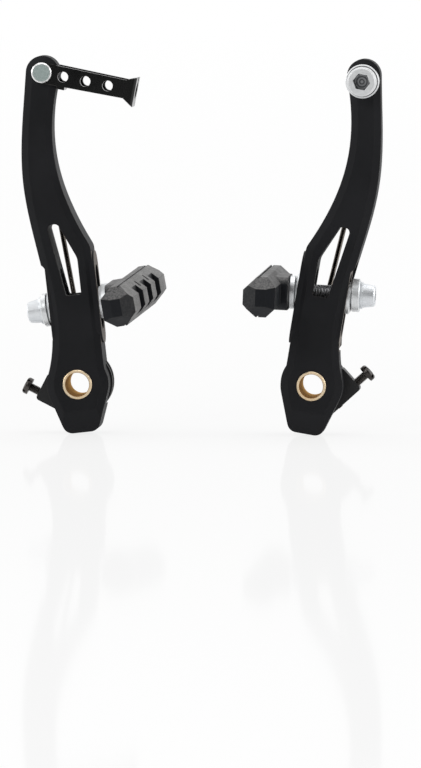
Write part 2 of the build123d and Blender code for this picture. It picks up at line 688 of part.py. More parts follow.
def clamp_washer():
    """Washer under the bolt's head, grooved across its back for the cable."""
    washer = ring(CLAMP_RADIUS, BOLT_RADIUS + THREAD_FIT, ARM_FRONT, ARM_FRONT + CLAMP_THICKNESS)
    outer = washer.faces().sort_by(Axis.Y)[0].edges().sort_by(SortBy.LENGTH)[-1]
    washer = chamfer(outer, CLAMP_EDGE)
    groove = Rot(0, 90, 0) * Cylinder(CABLE_GROOVE_RADIUS, HUGE)
    return washer - Pos(0, -ARM_FRONT, (BOLT_RADIUS + CLAMP_RADIUS) / 2) * groove


def write(name, solid):
    export_step(solid, os.path.join("parts", name + ".step"))


STANCES = {
    "left": (LEFT_LEAN, PIN_RADIUS + RUNNING_FIT, ARM_REACH),
    "right": (RIGHT_LEAN, BOLT_RADIUS + THREAD_FIT, ARM_REACH - BOLT_DROP),
}
HOLDER_STANCES = {
    "left": (LEFT_HOLDER_TURN, LEFT_SCREW_OUT, LEFT_LEAN),
    "right": (RIGHT_HOLDER_TURN, RIGHT_SCREW_OUT, RIGHT_LEAN),
}
PAD_STANCES = {
    "left": (LEFT_LEAN, LEFT_PAD_HEIGHT, LEFT_TOE, LEFT_CAMBER, LEFT_PAD_PITCH),
    "right": (RIGHT_LEAN, RIGHT_PAD_HEIGHT, RIGHT_TOE, RIGHT_CAMBER, RIGHT_PAD_PITCH),
}
THICK = (THICK_RISE, THICK_STACK)
THIN = (THIN_RISE, THIN_STACK)
WASHER_PAIRS = {"left": (THICK, THIN), "right": (THIN, THICK)}

for side, (lean, eye_bore, eye_place) in STANCES.items():
    write(side + "_arm", on_boss(side, arm(eye_bore, eye_place), lean))
    write(side + "_bush", on_boss(side, bush()))

for side, (turn, screw_out, lean) in HOLDER_STANCES.items():
    write(side + "_spring_holder", on_boss(side, spring_holder(), turn))
    write(side + "_stop_plate", on_boss(side, stop_plate(), turn))
    write(side + "_tension_screw", on_boss(side, tension_screw(screw_out), turn))
    write(side + "_spring", on_boss(side, return_spring(lean, turn), lean))

for side, (lean, height, toe, camber, pitch) in PAD_STANCES.items():
    (inner_rise, inner_stack), (outer_rise, outer_stack) = WASHER_PAIRS[side]
    ball = Pos(BALL_PLACE, -STUD_DEPTH, height)
    flip = Rot(0, 180, 0)
    tilted = ball * Rot(0, 0, -toe) * Rot(0, camber, 0)
    turned = tilted * Rot(pitch, 0, 0)
    pad_seat = turned * Pos(LAND_REACH + inner_stack, 0, 0)
    pieces = {
        "inner_dome_washer": ball * dome_washer(inner_rise),
        "outer_dome_washer": ball * flip * dome_washer(outer_rise),
        "inner_cup_washer": tilted * cup_washer(inner_rise, inner_stack),
        "outer_cup_washer": tilted * flip * cup_washer(outer_rise, outer_stack),
        "pad": pad_seat * pad(),
        "pad_stud": pad_seat * pad_stud(),
        "pad_nut": turned * Pos(-LAND_REACH - outer_stack, 0, 0) * pad_nut(),
    }
    for name, solid in pieces.items():
        write(side + "_" + name, on_boss(side, solid, lean))

link_eye = Pos(0, 0, ARM_REACH)
bolt_eye = Pos(0, 0, ARM_REACH - BOLT_DROP)
write("cable_link", on_boss("left", link_eye * Rot(0, LEFT_LEAN + LINK_SLOPE, 0) * cable_link(), LEFT_LEAN))
write("link_pin", on_boss("left", link_eye * link_pin(), LEFT_LEAN))
write("cable_bolt", on_boss("right", bolt_eye * cable_bolt(), RIGHT_LEAN))
write("cable_clamp_washer", on_boss("right", bolt_eye * clamp_washer(), RIGHT_LEAN))
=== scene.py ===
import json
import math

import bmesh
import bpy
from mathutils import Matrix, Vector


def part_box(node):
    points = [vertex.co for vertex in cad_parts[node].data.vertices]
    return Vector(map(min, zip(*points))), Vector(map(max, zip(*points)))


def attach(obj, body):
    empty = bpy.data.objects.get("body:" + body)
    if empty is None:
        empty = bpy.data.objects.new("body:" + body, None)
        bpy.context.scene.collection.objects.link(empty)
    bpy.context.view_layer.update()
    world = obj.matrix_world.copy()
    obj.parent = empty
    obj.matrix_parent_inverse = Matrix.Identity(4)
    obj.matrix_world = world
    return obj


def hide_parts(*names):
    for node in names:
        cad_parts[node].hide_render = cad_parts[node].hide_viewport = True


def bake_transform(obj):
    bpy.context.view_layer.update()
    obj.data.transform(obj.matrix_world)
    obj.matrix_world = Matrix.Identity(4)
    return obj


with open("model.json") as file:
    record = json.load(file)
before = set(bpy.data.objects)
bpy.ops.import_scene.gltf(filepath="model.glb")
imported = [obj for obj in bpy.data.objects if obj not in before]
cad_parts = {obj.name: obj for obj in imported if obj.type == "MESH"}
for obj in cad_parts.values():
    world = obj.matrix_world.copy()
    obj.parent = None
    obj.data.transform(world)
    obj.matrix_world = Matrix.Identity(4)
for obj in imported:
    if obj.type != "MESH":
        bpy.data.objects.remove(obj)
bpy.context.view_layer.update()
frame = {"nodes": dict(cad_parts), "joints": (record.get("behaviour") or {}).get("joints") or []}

# %% [markdown]
# # A linear-pull bicycle brake
# The brake is a pair of forged black arms. Each turns on a brass bush, carries a rubber pad on
# ball washers and is pushed open by a wire spring. The solids come ready-made from the frame,
# each at its own place. This lesson gives them their finishes, adds the fine threads that the
# solids leave out, gives each spring a smooth copy, and sets up a white studio.

SIDES = ("left", "right")
solids = frame["nodes"]
joints = {joint["name"]: joint for joint in frame["joints"]}


def joint_axis(name):
    """A joint's direction."""
    return Vector(joints[name]["axis"])


def joint_line(name):
    """A turning joint's point and direction."""
    return Vector(joints[name]["pos_m"]), joint_axis(name)


def add_object(name, data):
    """A new object in the scene, at the origin."""
    made = bpy.data.objects.new(name, data)
    bpy.context.scene.collection.objects.link(made)
    return made


print("solids:", len(solids), "joints:", len(joints))

# %% [markdown]
# ## The camera
# The picture was taken with a long lens from a little above and a little to the right, so the
# arms hardly converge. A long lens far away gives the same flat perspective. The camera is
# placed by two angles and a distance, because these are what one reads from a photograph.

# %% Camera
CAMERA_TURN = math.radians(5.25)
CAMERA_RISE = math.radians(4.5)
CAMERA_DISTANCE = 2.6
LOOK_AT = Vector((0.005, -0.010, 0.0))
SENSOR_WIDTH = 36
FOCAL_LENGTH = 357
FARTHEST_SEEN = 20


def aim(made, place_at, target):
    """Put a camera or a lamp in its place and turn it to a target."""
    made.location = place_at
    look = Vector(target) - Vector(place_at)
    made.rotation_euler = look.to_track_quat("-Z", "Y").to_euler()


offset = Vector((
    math.sin(CAMERA_TURN) * math.cos(CAMERA_RISE),
    -math.cos(CAMERA_TURN) * math.cos(CAMERA_RISE),
    math.sin(CAMERA_RISE),
))
camera = add_object("camera", bpy.data.cameras.new("camera"))
aim(camera, LOOK_AT + offset * CAMERA_DISTANCE, LOOK_AT)
camera.data.sensor_width = SENSOR_WIDTH
camera.data.lens = FOCAL_LENGTH
camera.data.clip_end = FARTHEST_SEEN
bpy.context.scene.camera = camera
bpy.context.scene.view_settings.view_transform = "Standard"
print("camera at", [round(value, 3) for value in camera.location])

# %% [markdown]
# ## Helpers for node trees
# Every finish below is a small node tree. One helper adds a node and fills its inputs, with
# either a value or a link, and the others do one sum or one mix each. They keep each finish
# short enough to read.

# %% Nodes and sums
def place(tree, kind, inputs=None, **settings):
    """Add a node; each input takes a value, or a link where it is given an output."""
    made = tree.nodes.new(kind)
    for name, value in settings.items():
        setattr(made, name, value)
    for name, value in (inputs or {}).items():
        if isinstance(value, bpy.types.NodeSocket):
            tree.links.new(value, made.inputs[name])
        else:
            made.inputs[name].default_value = value
    return made


def sums(tree, operation, first, second=0.0):
    """One Math node, and its result."""
    return place(tree, "ShaderNodeMath", {0: first, 1: second}, operation=operation).outputs[0]


def vectors(tree, operation, inputs, result="Vector"):
    """One Vector Math node, and its result."""
    return place(tree, "ShaderNodeVectorMath", inputs, operation=operation).outputs[result]


def dot(tree, first, second):
    """How far one vector reaches along another."""
    return vectors(tree, "DOT_PRODUCT", {0: first, 1: second}, "Value")


print("nodes and sums ready")

# %% Masks and mixes
def all_of(tree, *masks):
    """1 where every mask is 1."""
    product = masks[0]
    for mask in masks[1:]:
        product = sums(tree, "MULTIPLY", product, mask)
    return product


def within(tree, value, limit):
    """1 where a value is nearer to zero than a limit."""
    return sums(tree, "LESS_THAN", sums(tree, "ABSOLUTE", value), limit)


def beyond(tree, value, limit):
    """1 where a value is farther from zero than a limit."""
    return sums(tree, "GREATER_THAN", sums(tree, "ABSOLUTE", value), limit)


def remap(tree, value, low, high, to_low=0.0, to_high=1.0):
    """Stretch a value from one range to another, without going past its ends."""
    inputs = {0: value, 1: low, 2: high, 3: to_low, 4: to_high}
    return place(tree, "ShaderNodeMapRange", inputs).outputs[0]


def span(tree, mask, to_low, to_high):
    """Stretch a mask of 0 to 1 over a range."""
    return remap(tree, mask, 0.0, 1.0, to_low, to_high)


def blend_colour(tree, factor, first, second):
    """Mix two colours by a factor."""
    made = place(tree, "ShaderNodeMix", data_type="RGBA", inputs={0: factor})
    for name, colour in ((6, first), (7, second)):
        if isinstance(colour, bpy.types.NodeSocket):
            tree.links.new(colour, made.inputs[name])
        else:
            made.inputs[name].default_value = (*colour, 1)
    return made.outputs[2]


def wave(tree, value, spacing):
    """A wave from -1 to 1 that comes back once in each spacing."""
    return sums(tree, "SINE", sums(tree, "MULTIPLY", value, 2 * math.pi / spacing))


print("masks and mixes ready")

# %% [markdown]
# ## Effects that several finishes share
# Cast paint, moulded plastic and rubber all have a fine grain. Turned parts carry faint rings
# about their axis. Sharp corners of a real part are a little rounded, which bends the light; a mask
# of the corners also lets some finishes paint a highlight or a shade along them. Each of these
# is made once as a group with named inputs, and each finish sets its own scale and strength.

# %% Grain
GRAIN_RANGE = (0.3, 0.7)
PATCH_RANGE = (0.32, 0.68)
GRAIN_SCALE, GRAIN_DETAIL = 3000.0, 2.0
PATCH_SCALE, PATCH_DETAIL = 90.0, 3.0


def new_group(name, inputs, outputs):
    """An empty shader group with named sockets."""
    tree = bpy.data.node_groups.new(name, "ShaderNodeTree")
    for label, kind, value in inputs:
        socket = tree.interface.new_socket(label, in_out="INPUT", socket_type="NodeSocket" + kind)
        socket.default_value = value
    for label, kind in outputs:
        tree.interface.new_socket(label, in_out="OUTPUT", socket_type="NodeSocket" + kind)
    return tree, tree.nodes.new("NodeGroupInput").outputs, tree.nodes.new("NodeGroupOutput").inputs


def grain_group():
    """Fine grain over the surface, and broad soft patches for wear and handling."""
    tree, given, out = new_group(
        "grain",
        [("Grain Scale", "Float", GRAIN_SCALE), ("Patch Scale", "Float", PATCH_SCALE)],
        [("Grain", "Float"), ("Patches", "Float")],
    )
    where = place(tree, "ShaderNodeTexCoord").outputs["Object"]
    for label, scale, detail, noise_range in (
        ("Grain", given["Grain Scale"], GRAIN_DETAIL, GRAIN_RANGE),
        ("Patches", given["Patch Scale"], PATCH_DETAIL, PATCH_RANGE),
    ):
        inputs = {"Vector": where, "Scale": scale, "Detail": detail}
        noise = place(tree, "ShaderNodeTexNoise", inputs).outputs["Fac"]
        tree.links.new(remap(tree, noise, *noise_range), out[label])
    return tree


GRAIN = grain_group()
print("group:", GRAIN.name)

# %% Turned surfaces
RING_SPACING = 0.00015


def turned_group():
    """Distance from an axis, place along it, and the faint rings that a lathe leaves."""
    tree, given, out = new_group(
        "turned",
        [("Centre", "Vector", (0, 0, 0)), ("Axis", "Vector", (0, 1, 0)),
         ("Ring Spacing", "Float", RING_SPACING)],
        [("Radius", "Float"), ("Along", "Float"), ("Rings", "Float")],
    )
    where = place(tree, "ShaderNodeTexCoord").outputs["Object"]
    reach = vectors(tree, "SUBTRACT", {0: where, 1: given["Centre"]})
    along = dot(tree, reach, given["Axis"])
    shift = vectors(tree, "SCALE", {0: given["Axis"], "Scale": along})
    flat = vectors(tree, "SUBTRACT", {0: reach, 1: shift})
    radius = vectors(tree, "LENGTH", {0: flat}, "Value")
    count = sums(tree, "DIVIDE", sums(tree, "ADD", radius, along), given["Ring Spacing"])
    inputs = {"W": count, "Scale": 1.0, "Detail": 1.0}
    rings = place(tree, "ShaderNodeTexNoise", inputs, noise_dimensions="1D").outputs["Fac"]
    tree.links.new(radius, out["Radius"])
    tree.links.new(along, out["Along"])
    tree.links.new(remap(tree, rings, *GRAIN_RANGE), out["Rings"])
    return tree


TURNED = turned_group()
print("group:", TURNED.name)

# %% Rounded corners
CORNER_RADIUS = 0.0003
CORNER_SAMPLES = 6
CORNER_RANGE = (0.995, 0.90)


def corner_group():
    """Rounded corners for the light, and a mask of where they are."""
    tree, given, out = new_group(
        "corners",
        [("Round", "Float", CORNER_RADIUS)],
        [("Normal", "Vector"), ("Corner", "Float")],
    )
    bevel = place(tree, "ShaderNodeBevel", {"Radius": given["Round"]}, samples=CORNER_SAMPLES)
    rounded = bevel.outputs[0]
    flat = place(tree, "ShaderNodeNewGeometry").outputs["Normal"]
    tree.links.new(rounded, out["Normal"])
    tree.links.new(remap(tree, dot(tree, rounded, flat), *CORNER_RANGE), out["Corner"])
    return tree


CORNERS = corner_group()
print("group:", CORNERS.name)

# %% [markdown]
# ## How a finish is put together
# All finishes are built alike: an empty material, the groups that it needs, and at the end one
# Principled shader that takes the colours, masks and fixed values together on its own sockets.
# What differs between them follows in the cells below, one material at a time.

# %% Start and end of a finish
def blank(name):
    """An empty material, and its node tree."""
    material = bpy.data.materials.new(name)
    material.use_nodes = True
    material.node_tree.nodes.clear()
    return material, material.node_tree


def shade(tree, inputs):
    """End a finish with a Principled shader and everything that goes into it."""
    shader = place(tree, "ShaderNodeBsdfPrincipled", inputs)
    place(tree, "ShaderNodeOutputMaterial", {"Surface": shader.outputs[0]})


def dress(material, *names):
    """Give solids of the frame a material."""
    for name in names:
        solids[name].material_slots[0].material = material


print("finishes start and end")

# %% Groups in a finish
def grain_in(tree, grain_scale=GRAIN_SCALE, patch_scale=PATCH_SCALE):
    """The grain group, at its own two scales."""
    inputs = {"Grain Scale": grain_scale, "Patch Scale": patch_scale}
    return place(tree, "ShaderNodeGroup", inputs, node_tree=GRAIN).outputs


def turned_in(tree, line, spacing=RING_SPACING):
    """The turned group, about one line."""
    inputs = {"Centre": line[0], "Axis": line[1], "Ring Spacing": spacing}
    return place(tree, "ShaderNodeGroup", inputs, node_tree=TURNED).outputs


def corners_in(tree, radius=CORNER_RADIUS):
    """The corner group, at its own radius."""
    return place(tree, "ShaderNodeGroup", {"Round": radius}, node_tree=CORNERS).outputs


def raised(tree, height, depth, normal):
    """A bump of a given depth in metres over a normal."""
    inputs = {"Height": height, "Distance": depth, "Normal": normal}
    return place(tree, "ShaderNodeBump", inputs).outputs[0]


print("groups ready for finishes")

# %% [markdown]
# ## Satin black arms with blasted washer seats
# The arms are forged aluminium with a satin black coat: nearly black, with a very fine grain
# and soft light along the rounded corners, which comes partly from rounded normals and partly
# from a lighter colour painted on the corners as a highlight. The flats that the pad washers bear
# on are blasted, a dull grey brown. A mask picks them out by the way they face and by where they
# lie from the middle of the stud slot, so the finish follows the solid exactly. Their distance
# across the arm keeps the walls of the window, which face the same way, black.

# %% Washer seats
FRONT_TO_BACK = Vector((0, 1, 0))
SEAT_MIDDLE = {"left": 0.0021, "right": -0.0025}
SEAT_HALF_LENGTH = 0.0158
SEAT_HALF_DEPTH = 0.0060
SEAT_LEAST_ACROSS = 0.0075
SEAT_LEAST_FACING = 0.97


def seat_mask(tree, side):
    """1 on the two flats beside the stud slot of an arm."""
    stud_point, _ = joint_line(side + "_pad_toe")
    up = joint_axis(side + "_pad_height")
    across = up.cross(FRONT_TO_BACK)
    surface = place(tree, "ShaderNodeTexCoord").outputs
    middle = stud_point + up * SEAT_MIDDLE[side]
    reach = vectors(tree, "SUBTRACT", {0: surface["Object"], 1: middle})
    return all_of(
        tree,
        within(tree, dot(tree, reach, up), SEAT_HALF_LENGTH),
        within(tree, dot(tree, reach, FRONT_TO_BACK), SEAT_HALF_DEPTH),
        beyond(tree, dot(tree, surface["Normal"], across), SEAT_LEAST_FACING),
        beyond(tree, dot(tree, reach, across), SEAT_LEAST_ACROSS),
    )


print("seats from", SEAT_LEAST_ACROSS, "m out, half length", SEAT_HALF_LENGTH, "m")

# %% Arms
COAT_DARK, COAT_LIGHT = (0.0080, 0.0084, 0.0100), (0.0150, 0.0154, 0.0176)
COAT_CORNER_HIGHLIGHT = (0.042, 0.038, 0.036)
COAT_ROUGHNESS = (0.54, 0.64)
COAT_SHINE = 0.2
COAT_GRAIN_DEPTH = 0.000006
BLASTED_DARK, BLASTED_LIGHT = (0.12, 0.102, 0.090), (0.25, 0.22, 0.195)
BLASTED_METAL = 0.3

for side in SIDES:
    material, tree = blank(side + " satin black")
    grain = grain_in(tree, grain_scale=2600, patch_scale=60)
    corners = corners_in(tree)
    on_seat = seat_mask(tree, side)
    coat_and_highlight = blend_colour(tree, grain["Patches"], COAT_DARK, COAT_LIGHT)
    # painted highlight: the rounded corners get a lighter colour
    coat_and_highlight = blend_colour(tree, corners["Corner"], coat_and_highlight, COAT_CORNER_HIGHLIGHT)
    blasted = blend_colour(tree, grain["Grain"], BLASTED_DARK, BLASTED_LIGHT)
    shade(tree, {
        "Base Color": blend_colour(tree, on_seat, coat_and_highlight, blasted),
        "Metallic": sums(tree, "MULTIPLY", on_seat, BLASTED_METAL),
        "Roughness": span(tree, grain["Patches"], *COAT_ROUGHNESS),
        "Specular IOR Level": COAT_SHINE,
        "Normal": raised(tree, grain["Grain"], COAT_GRAIN_DEPTH, corners["Normal"]),
    })
    dress(material, side + "_arm")
print("arms dressed")

# %% [markdown]
# ## Brass bushes
# The bushes are turned from brass and left bare, so their rims mirror the white studio and show
# the faint rings of the lathe. The bore is only drilled and rougher, and it is painted a darker
# brass as shade inside the bore.

# %% Bushes
BORE_RADIUS = 0.0042
BORE_SHADE_COLOUR = (0.46, 0.27, 0.10)
BORE_ROUGHNESS = 0.65
BRASS_DARK, BRASS_LIGHT = (0.90, 0.69, 0.44), (0.96, 0.79, 0.56)
BRASS_TINT = (0.94, 0.76, 0.50, 1)
RIM_ROUGHNESS = (0.22, 0.34)
RIM_RING_DEPTH = 0.0000005

for side in SIDES:
    material, tree = blank(side + " brass")
    grain = grain_in(tree, patch_scale=160)
    turned = turned_in(tree, joint_line(side + "_arm_swing"))
    in_bore = sums(tree, "LESS_THAN", turned["Radius"], BORE_RADIUS)
    brass = blend_colour(tree, grain["Patches"], BRASS_DARK, BRASS_LIGHT)
    on_rim = span(tree, turned["Rings"], *RIM_ROUGHNESS)
    drilled = sums(tree, "MULTIPLY", in_bore, BORE_ROUGHNESS)
    flat = place(tree, "ShaderNodeNewGeometry").outputs["Normal"]
    shade(tree, {
        # painted shade: the bore gets a darker brass colour
        "Base Color": blend_colour(tree, in_bore, brass, BORE_SHADE_COLOUR),
        "Metallic": 1.0,
        "Specular Tint": BRASS_TINT,
        "Roughness": sums(tree, "MAXIMUM", on_rim, drilled),
        "Normal": raised(tree, turned["Rings"], RIM_RING_DEPTH, flat),
    })
    dress(material, side + "_bush")
print("bushes dressed")

# %% [markdown]
# ## Bright plated steel
# The nuts and the ball washers are plated steel: the nuts brighter, the washers a little duller.
# Each set has its own axis, read from the joint that turns it, so its lathe rings run round it.

# %% Nuts and washers
SMALL_CORNERS = 0.0002
PLATED_PATCHES = 220
PLATED_RINGS = 0.00022
PLATED_RING_DEPTH = 0.000002
NUT_DARK, NUT_LIGHT = (0.74, 0.77, 0.80), (0.84, 0.86, 0.88)
NUT_ROUGHNESS, NUT_METAL = (0.34, 0.46), 0.5
WASHER_DARK, WASHER_LIGHT = (0.68, 0.70, 0.71), (0.82, 0.83, 0.84)
WASHER_ROUGHNESS, WASHER_METAL = (0.34, 0.48), 0.7
WASHERS = ("_inner_dome_washer", "_inner_cup_washer", "_outer_dome_washer", "_outer_cup_washer")


def plated(name, line, dark, light, roughness, metal):
    """Plated steel with faint rings about a line."""
    material, tree = blank(name)
    grain = grain_in(tree, patch_scale=PLATED_PATCHES)
    turned = turned_in(tree, line, PLATED_RINGS)
    corners = corners_in(tree, SMALL_CORNERS)
    shade(tree, {
        "Base Color": blend_colour(tree, grain["Patches"], dark, light),
        "Metallic": metal,
        "Roughness": span(tree, turned["Rings"], *roughness),
        "Normal": raised(tree, turned["Rings"], PLATED_RING_DEPTH, corners["Normal"]),
    })
    return material


for side in SIDES:
    line = joint_line(side + "_pad_turn")
    nut = plated(side + " nut", line, NUT_DARK, NUT_LIGHT, NUT_ROUGHNESS, NUT_METAL)
    dress(nut, side + "_pad_nut")
    washer = plated(
        side + " washers", line, WASHER_DARK, WASHER_LIGHT, WASHER_ROUGHNESS, WASHER_METAL
    )
    dress(washer, *(side + name for name in WASHERS))
print("nuts and washers dressed")

# %% [markdown]
# ## Cable bolt
# The cable bolt and its washer are plated too, but matt and pale, as barrel plating is. Shade is
# painted dark in the crease between head and washer and along the socket's edge, and the socket
# is painted darker, with rings of painted light and shade on its floor where the drill left its
# cone. Distance from the bolt's axis and place along it pick out each of these.

# %% Where shade is painted on the cable bolt
HEAD_FACE = 0.0099
SOCKET_FLOOR = 0.0073
SOCKET_REACH = 0.0030
SOCKET_EDGE_REACH = SOCKET_REACH * 1.15
WASHER_FACE = 0.0057
CREASE_REACH = 0.0053
SKIN = 0.00005

bolt_material, tree = blank("cable bolt")
turned = turned_in(tree, joint_line("bolt_turn"), PLATED_RINGS)
corners = corners_in(tree)
# the socket, which is painted darker as shade
shaded_socket = all_of(
    tree,
    sums(tree, "LESS_THAN", turned["Radius"], SOCKET_REACH),
    sums(tree, "LESS_THAN", turned["Along"], HEAD_FACE - SKIN),
    sums(tree, "GREATER_THAN", turned["Along"], SOCKET_FLOOR - SKIN),
)
# painted shade in the crease between head and washer
shaded_crease = all_of(
    tree,
    sums(tree, "LESS_THAN", turned["Radius"], CREASE_REACH),
    sums(tree, "LESS_THAN", turned["Along"], WASHER_FACE + SKIN),
)
# painted shade: a dark line along the socket's edge
shaded_socket_edge = sums(tree, "LESS_THAN", turned["Radius"], SOCKET_EDGE_REACH)
shaded_socket_edge = all_of(tree, corners["Corner"], shaded_socket_edge)
print("socket from", SOCKET_FLOOR, "to", HEAD_FACE, "m along the bolt")

# %% Cable bolt and its washer
SHADE_RING_SPACING = 0.0010
SOCKET_SHADE_DARK, SOCKET_SHADE_LIGHT = (0.09, 0.09, 0.10), (0.46, 0.47, 0.48)
BOLT_DARK, BOLT_LIGHT = (0.84, 0.85, 0.86), (0.93, 0.94, 0.95)
BOLT_PAINTED_SHADE = (0.07, 0.07, 0.075)
BOLT_ROUGHNESS = (0.38, 0.52)
BOLT_METAL = 0.15
BOLT_RING_DEPTH = 0.000003

grain = grain_in(tree, patch_scale=PLATED_PATCHES)
# painted rings of light and shade on the socket floor, where the drill left its cone
rings = remap(tree, wave(tree, turned["Radius"], SHADE_RING_SPACING), -1.0, 1.0)
drilled = blend_colour(tree, rings, SOCKET_SHADE_DARK, SOCKET_SHADE_LIGHT)
plating_and_shade = blend_colour(tree, grain["Patches"], BOLT_DARK, BOLT_LIGHT)
plating_and_shade = blend_colour(tree, shaded_socket, plating_and_shade, drilled)
shade(tree, {
    # painted shade in the crease and along the socket's edge
    "Base Color": blend_colour(tree, sums(tree, "MAXIMUM", shaded_socket_edge, shaded_crease), plating_and_shade, BOLT_PAINTED_SHADE),
    "Metallic": BOLT_METAL,
    "Roughness": span(tree, turned["Rings"], *BOLT_ROUGHNESS),
    "Normal": raised(tree, turned["Rings"], BOLT_RING_DEPTH, corners["Normal"]),
})
dress(bolt_material, "cable_bolt", "cable_clamp_washer")
print("cable bolt dressed")

# %% [markdown]
# ## Rubber pads
# The pads are moulded rubber, nearly black and dull. The faces that look up are speckled grey,
# partly from talc and dust and partly as painted light from above, and the faces that rub on the
# rim are grey from wear. Masks by the direction that a face looks in turn those grey, and leave
# the ends dark; the slot floors stay dark as painted shade, and the corners get a painted
# highlight.

# %% Dust, painted top light and wear on a pad
PAD_FACE = {"left": 0.02615, "right": 0.02475}
SLOT_DEPTH = 0.0022
SLOT_LEAST_FACING = 0.9
DUST_AND_TOP_LIGHT_RANGE = (0.15, 0.8)
WORN_RANGE = (0.35, 0.8)


def dust_top_light_and_wear(tree, side):
    """A mask of the upper faces, dusty and painted lighter as light from above, and one of the
    faces that rub on the rim, without the slot floors, which stay dark as painted shade.
    """
    line = joint_line(side + "_pad_turn")
    along = turned_in(tree, line)["Along"]
    facing = place(tree, "ShaderNodeTexCoord").outputs["Normal"]
    upward = place(tree, "ShaderNodeSeparateXYZ", {0: facing}).outputs["Z"]
    to_rim = dot(tree, facing, line[1])
    shaded_slot_floor = all_of(
        tree,
        sums(tree, "LESS_THAN", along, PAD_FACE[side] - SLOT_DEPTH / 2),
        sums(tree, "GREATER_THAN", to_rim, SLOT_LEAST_FACING),
    )
    # painted shade: the slot floors are taken out of the worn grey and stay dark
    worn_except_shaded_slots = sums(tree, "SUBTRACT", remap(tree, to_rim, *WORN_RANGE), shaded_slot_floor)
    return remap(tree, upward, *DUST_AND_TOP_LIGHT_RANGE), worn_except_shaded_slots


print("pad faces at", PAD_FACE)

# %% Pads
RUBBER = (0.0042, 0.0054, 0.0082)
RUBBER_CORNER_HIGHLIGHT = (0.05, 0.049, 0.048)
RUBBER_CORNER_RADIUS = 0.0004
RUBBER_ROUGHNESS = (0.46, 0.62)
RUBBER_SHINE = 0.25
RUBBER_GRAIN_DEPTH = 0.00003
DUST_AND_TOP_LIGHT_DARK, DUST_AND_TOP_LIGHT_PALE = (0.055, 0.055, 0.057), (0.18, 0.177, 0.174)
WORN_DARK, WORN_LIGHT = (0.13, 0.129, 0.128), (0.27, 0.267, 0.262)

for side in SIDES:
    material, tree = blank(side + " pad rubber")
    grain = grain_in(tree, grain_scale=1500, patch_scale=140)
    corners = corners_in(tree, RUBBER_CORNER_RADIUS)
    dust_and_top_light, worn_except_shaded_slots = dust_top_light_and_wear(tree, side)
    dust_and_top_light_colour = blend_colour(tree, grain["Grain"], DUST_AND_TOP_LIGHT_DARK, DUST_AND_TOP_LIGHT_PALE)
    rubbed = blend_colour(tree, grain["Grain"], WORN_DARK, WORN_LIGHT)
    # dust and painted light from above: the upper faces turn speckled grey
    rubber = blend_colour(tree, dust_and_top_light, RUBBER, dust_and_top_light_colour)
    rubber = blend_colour(tree, worn_except_shaded_slots, rubber, rubbed)
    shade(tree, {
        # painted highlight: the corners get a lighter colour
        "Base Color": blend_colour(tree, corners["Corner"], rubber, RUBBER_CORNER_HIGHLIGHT),
        "Roughness": span(tree, grain["Patches"], *RUBBER_ROUGHNESS),
        "Specular IOR Level": RUBBER_SHINE,
        "Normal": raised(tree, grain["Grain"], RUBBER_GRAIN_DEPTH, corners["Normal"]),
    })
    dress(material, side + "_pad")
print("pads dressed")

# %% [markdown]
# ## Pad studs
# Stud and backing plate are one piece of steel: the plate is black, the stud is bare and
# threaded. Place along the stud's axis tells one from the other, and a wave along the same
# axis gives the bare length the look of a thread.

# %% Studs and backing plates
PLATE_PLACE = {"left": 0.0127, "right": 0.0113}
PLATE_BLACK = (0.014, 0.014, 0.015)
STUD_DARK, STUD_LIGHT = (0.22, 0.22, 0.23), (0.34, 0.34, 0.35)
STUD_ROUGHNESS = (0.28, 0.42)
STUD_PITCH = 0.001
STUD_THREAD_DEPTH = 0.0002

for side in SIDES:
    material, tree = blank(side + " stud")
    grain = grain_in(tree)
    turned = turned_in(tree, joint_line(side + "_pad_turn"))
    corners = corners_in(tree, SMALL_CORNERS)
    on_plate = sums(tree, "GREATER_THAN", turned["Along"], PLATE_PLACE[side])
    off_plate = sums(tree, "SUBTRACT", 1.0, on_plate)
    bare = blend_colour(tree, grain["Patches"], STUD_DARK, STUD_LIGHT)
    thread = sums(tree, "MULTIPLY", wave(tree, turned["Along"], STUD_PITCH), off_plate)
    shade(tree, {
        "Base Color": blend_colour(tree, on_plate, bare, PLATE_BLACK),
        "Metallic": off_plate,
        "Roughness": span(tree, grain["Grain"], *STUD_ROUGHNESS),
        "Normal": raised(tree, thread, STUD_THREAD_DEPTH, corners["Normal"]),
    })
    dress(material, side + "_pad_stud")
print("studs dressed")

# %% [markdown]
# ## Spring side: plastic holder, dark steel, spring wire
# Behind each hub sit a black moulded holder, a steel stop plate and the spring. The screw that
# sets the spring is black-oxide steel. They are all dark, so they differ mainly in gloss.

# %% Holders
HOLDER_DARK, HOLDER_LIGHT = (0.010, 0.010, 0.011), (0.016, 0.016, 0.017)
HOLDER_ROUGHNESS = (0.40, 0.52)
HOLDER_SHINE = 0.4
HOLDER_GRAIN_DEPTH = 0.00001

material, tree = blank("holder plastic")
grain = grain_in(tree, grain_scale=2200)
corners = corners_in(tree)
shade(tree, {
    "Base Color": blend_colour(tree, grain["Patches"], HOLDER_DARK, HOLDER_LIGHT),
    "Roughness": span(tree, grain["Grain"], *HOLDER_ROUGHNESS),
    "Specular IOR Level": HOLDER_SHINE,
    "Normal": raised(tree, grain["Grain"], HOLDER_GRAIN_DEPTH, corners["Normal"]),
})
dress(material, *(side + "_spring_holder" for side in SIDES))
print("holders dressed")

# %% Stop plates, screws and springs
OXIDE_DARK, OXIDE_LIGHT = (0.045, 0.042, 0.040), (0.10, 0.092, 0.086)
OXIDE_ROUGHNESS, OXIDE_PATCHES = (0.26, 0.40), 400
WIRE_DARK, WIRE_LIGHT = (0.055, 0.048, 0.042), (0.13, 0.115, 0.10)
WIRE_ROUGHNESS, WIRE_PATCHES = (0.22, 0.34), 300


